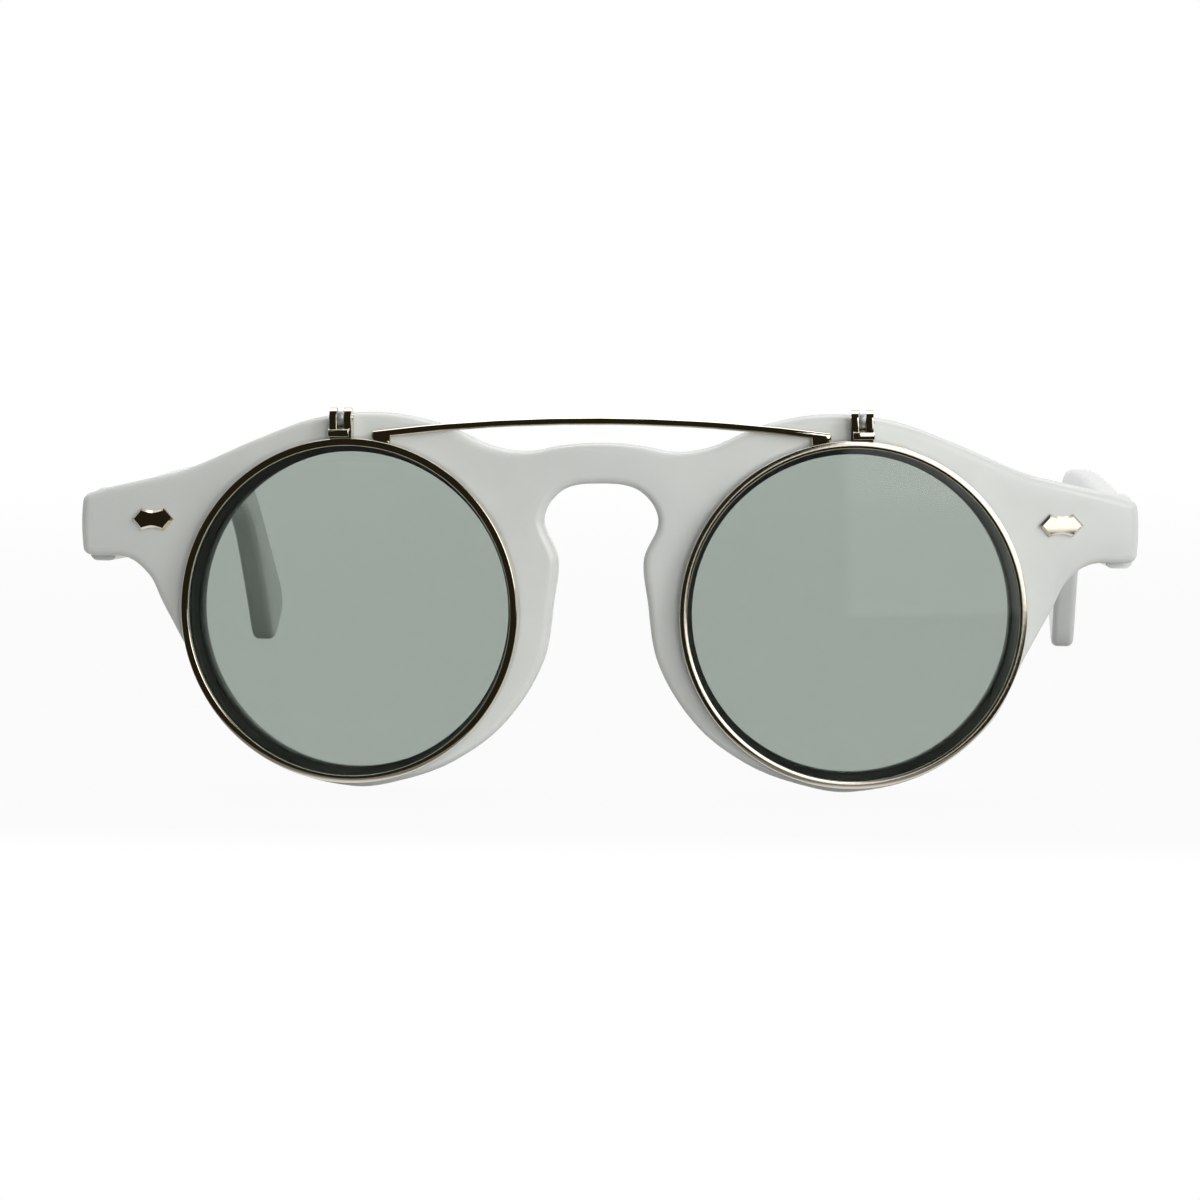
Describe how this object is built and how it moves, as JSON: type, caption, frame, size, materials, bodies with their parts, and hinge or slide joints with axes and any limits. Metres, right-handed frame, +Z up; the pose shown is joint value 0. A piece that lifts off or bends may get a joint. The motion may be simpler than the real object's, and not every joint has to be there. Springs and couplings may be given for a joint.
{
  "type": "flip up sunglasses",
  "caption": "Round sunglasses with a pearl plastic keyhole-bridge front, folding temples, and tinted lenses in metal rims that flip up from clear inner lenses.",
  "frame": {"origin": "on the surface that the open glasses stand on, below the middle of the whole part", "axes": "+X to the right as seen from the front, +Y from the front back along the temples, +Z up. The front's outer face looks towards -Y."},
  "size_m": [0.1444, 0.1641, 0.0517],
  "materials": {
    "pearl_plastic": "polished, slightly translucent pearl white acetate",
    "clear_lens": "clear lens plastic",
    "tinted_lens": "smoke grey-green lens plastic",
    "polished_metal": "polished plated metal",
    "hinge_steel": "plain nickel plated steel"
  },
  "bodies": {
    "front": {"front_frame": "pearl_plastic", "inner_lens_left": "clear_lens", "inner_lens_right": "clear_lens", "end_plaque_left": "polished_metal", "end_plaque_right": "polished_metal", "front_hinge_leaf_left": "hinge_steel", "front_hinge_leaf_right": "hinge_steel", "temple_hinge_screw_left": "hinge_steel", "temple_hinge_screw_right": "hinge_steel", "flip_hinge_leaf_left": "polished_metal", "flip_hinge_leaf_right": "polished_metal"},
    "temple_arm_left": {"temple_left": "pearl_plastic", "temple_hinge_leaf_left": "hinge_steel"},
    "temple_arm_right": {"temple_right": "pearl_plastic", "temple_hinge_leaf_right": "hinge_steel"},
    "flip_unit": {"flip_rim_left": "polished_metal", "flip_rim_right": "polished_metal", "flip_lens_left": "tinted_lens", "flip_lens_right": "tinted_lens", "flip_bridge_bar": "polished_metal", "flip_hinge_fork_left": "polished_metal", "flip_hinge_fork_right": "polished_metal", "flip_hinge_pin_left": "polished_metal", "flip_hinge_pin_right": "polished_metal"}
  },
  "joints": [
    {"name": "temple_fold_left", "type": "hinge", "parent": "front", "child": "temple_arm_left", "pos_m": [-0.0662, -0.06278, 0.03445], "axis": [0, 0.0538, 0.9986], "range_deg": [-87.8, 0]},
    {"name": "temple_fold_right", "type": "hinge", "parent": "front", "child": "temple_arm_right", "pos_m": [0.0662, -0.06278, 0.03445], "axis": [0, -0.0538, -0.9986], "range_deg": [-92.5, 0]},
    {"name": "flip_up", "type": "hinge", "parent": "front", "child": "flip_unit", "pos_m": [0, -0.0769, 0.05034], "axis": [-1, 0, 0], "range_deg": [0, 90]}
  ]
}
